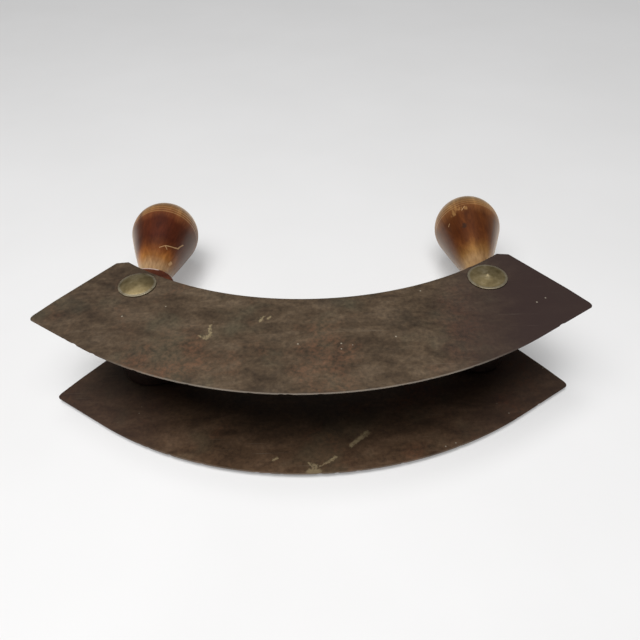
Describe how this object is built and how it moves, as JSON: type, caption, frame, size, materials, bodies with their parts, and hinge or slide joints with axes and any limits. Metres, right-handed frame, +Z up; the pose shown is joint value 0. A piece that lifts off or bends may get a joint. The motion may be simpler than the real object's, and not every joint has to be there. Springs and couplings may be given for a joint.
{
  "type": "mincing knife",
  "caption": "Hand mincing knife with paired crescent blades held apart by wooden barrels, and turned wooden knob handles riveted between the blade ends.",
  "frame": {"origin": "under the middle of the bounding box, at the level of the lower rivet ends on which the tool lies", "axes": "+X along the tool from tip to tip, +Y from the cutting edges towards the knobs, +Z up through both blades"},
  "size_m": [0.2594, 0.1762, 0.0585],
  "materials": {
    "blade_steel": "dark brown patina, mottled",
    "barrel_wood": "worn varnish",
    "handle_wood": "glossy varnish, worn to pale wood at the neck",
    "rivet_rod": "aged",
    "rivet_head": "aged, satin"
  },
  "bodies": {
    "root": {"upper_blade": "blade_steel", "lower_blade": "blade_steel", "left_barrel": "barrel_wood", "right_barrel": "barrel_wood", "left_handle": "handle_wood", "right_handle": "handle_wood", "left_rivet_rod": "rivet_rod", "right_rivet_rod": "rivet_rod", "left_upper_rivet_head": "rivet_head", "right_upper_rivet_head": "rivet_head", "left_lower_rivet_head": "rivet_head", "right_lower_rivet_head": "rivet_head"}
  },
  "joints": []
}
